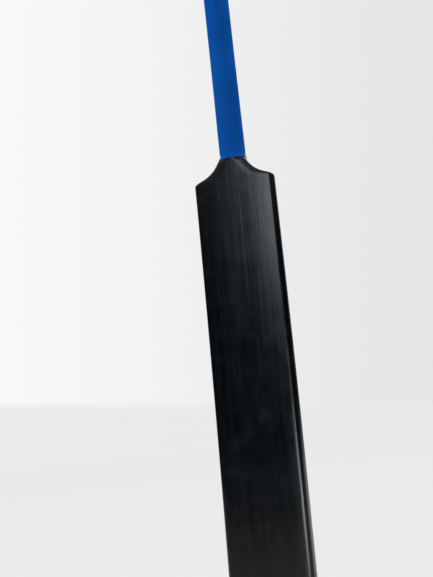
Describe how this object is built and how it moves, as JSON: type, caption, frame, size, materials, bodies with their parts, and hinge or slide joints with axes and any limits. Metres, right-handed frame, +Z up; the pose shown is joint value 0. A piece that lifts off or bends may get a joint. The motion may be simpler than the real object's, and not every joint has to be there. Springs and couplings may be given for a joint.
{
  "type": "cricket bat",
  "caption": "Black-finished cricket bat: willow blade with a V-spliced laminated cane handle, twine binding, blue ribbed rubber grip and a rubber toe guard.",
  "frame": {"origin": "middle of the toe's flat underside", "axes": "+Z up along the handle's axis, +X to the right of someone facing the hitting face, and the hitting face looks towards -Y"},
  "size_m": [0.108, 0.0752, 0.87],
  "materials": {
    "blade": "satin black lacquer over stained willow",
    "toe_rubber": "matte moulded rubber",
    "cane": "planed cane",
    "spring_rubber": "matte sheet rubber",
    "twine": "glued and waxed linen twine",
    "grip": "blue rubber with fine diamond ribs"
  },
  "bodies": {
    "root": {"blade": "blade", "toe_guard": "toe_rubber", "cane_front_left": "cane", "cane_front_centre": "cane", "cane_front_right": "cane", "cane_midfront_left": "cane", "cane_midfront_centre": "cane", "cane_midfront_right": "cane", "cane_midback_left": "cane", "cane_midback_centre": "cane", "cane_midback_right": "cane", "cane_back_left": "cane", "cane_back_centre": "cane", "cane_back_right": "cane", "spring_front": "spring_rubber", "spring_middle": "spring_rubber", "spring_back": "spring_rubber", "twine_binding": "twine", "grip": "grip"}
  },
  "joints": []
}
